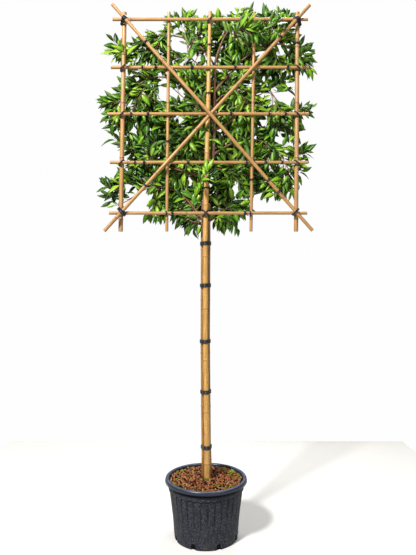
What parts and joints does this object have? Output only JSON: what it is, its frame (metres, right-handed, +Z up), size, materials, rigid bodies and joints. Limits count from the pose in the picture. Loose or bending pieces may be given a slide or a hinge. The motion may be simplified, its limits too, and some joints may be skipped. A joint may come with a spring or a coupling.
{
  "type": "potted pleached laurel tree",
  "caption": "Pleached evergreen laurel tree on a clear stem, tied to a flat square bamboo lattice, standing in a round nursery pot.",
  "frame": {"origin": "middle of the flat underside of the pot, on the ground", "axes": "+Z up along the stem, +X to the right along the lattice as seen from its face, -Y out of the lattice's face"},
  "size_m": [1.37, 0.505, 3.2778],
  "materials": {
    "pot": "charcoal recycled plastic, faintly speckled and satin on the rim",
    "substrate": "loose reddish bark granules, dry and matt",
    "bark": "smooth reddish-brown bark with fine pores",
    "bamboo": "golden tan bamboo skin with darker nodes",
    "leaves": "glossy leathery evergreen leaves",
    "ties": "black tubular plastic tie, satin"
  },
  "bodies": {
    "root": {"pot": "pot", "soil": "substrate", "trunk": "bark", "cane_row_1": "bamboo", "cane_row_2": "bamboo", "cane_row_3": "bamboo", "cane_row_4": "bamboo", "cane_row_5": "bamboo", "cane_upright_outer_left": "bamboo", "cane_upright_inner_left": "bamboo", "cane_upright_inner_right": "bamboo", "cane_upright_outer_right": "bamboo", "cane_diagonal_falling": "bamboo", "cane_diagonal_rising": "bamboo", "cane_main": "bamboo", "cane_rear_left": "bamboo", "cane_rear_right": "bamboo", "bough_top_left": "bark", "bough_top_left_short": "bark", "bough_top_right": "bark", "bough_upper_right_short": "bark", "bough_upper_right": "bark", "bough_lower_right": "bark", "bough_lower_right_short": "bark", "bough_foot_right": "bark", "bough_foot_left": "bark", "bough_lower_left": "bark", "bough_lower_left_short": "bark", "bough_upper_left": "bark", "foliage_top_left": "leaves", "foliage_top_left_inner": "leaves", "foliage_top_middle": "leaves", "foliage_top_right": "leaves", "foliage_upper_left": "leaves", "foliage_upper_left_inner": "leaves", "foliage_upper_right_inner": "leaves", "foliage_upper_right": "leaves", "foliage_lower_left": "leaves", "foliage_lower_left_inner": "leaves", "foliage_lower_right_inner": "leaves", "foliage_lower_right": "leaves", "foliage_foot_left": "leaves", "foliage_foot_left_inner": "leaves", "foliage_foot_right_inner": "leaves", "stem_tie_1": "ties", "stem_tie_2": "ties", "stem_tie_3": "ties", "stem_tie_4": "ties", "stem_tie_5": "ties", "tie_left_row_1": "ties", "tie_left_row_2": "ties", "tie_left_row_3": "ties", "tie_left_row_4": "ties", "tie_left_row_5": "ties", "tie_right_row_1": "ties", "tie_right_row_2": "ties", "tie_right_row_3": "ties", "tie_right_row_4": "ties", "tie_right_row_5": "ties", "tie_middle_row_1": "ties"}
  },
  "joints": []
}
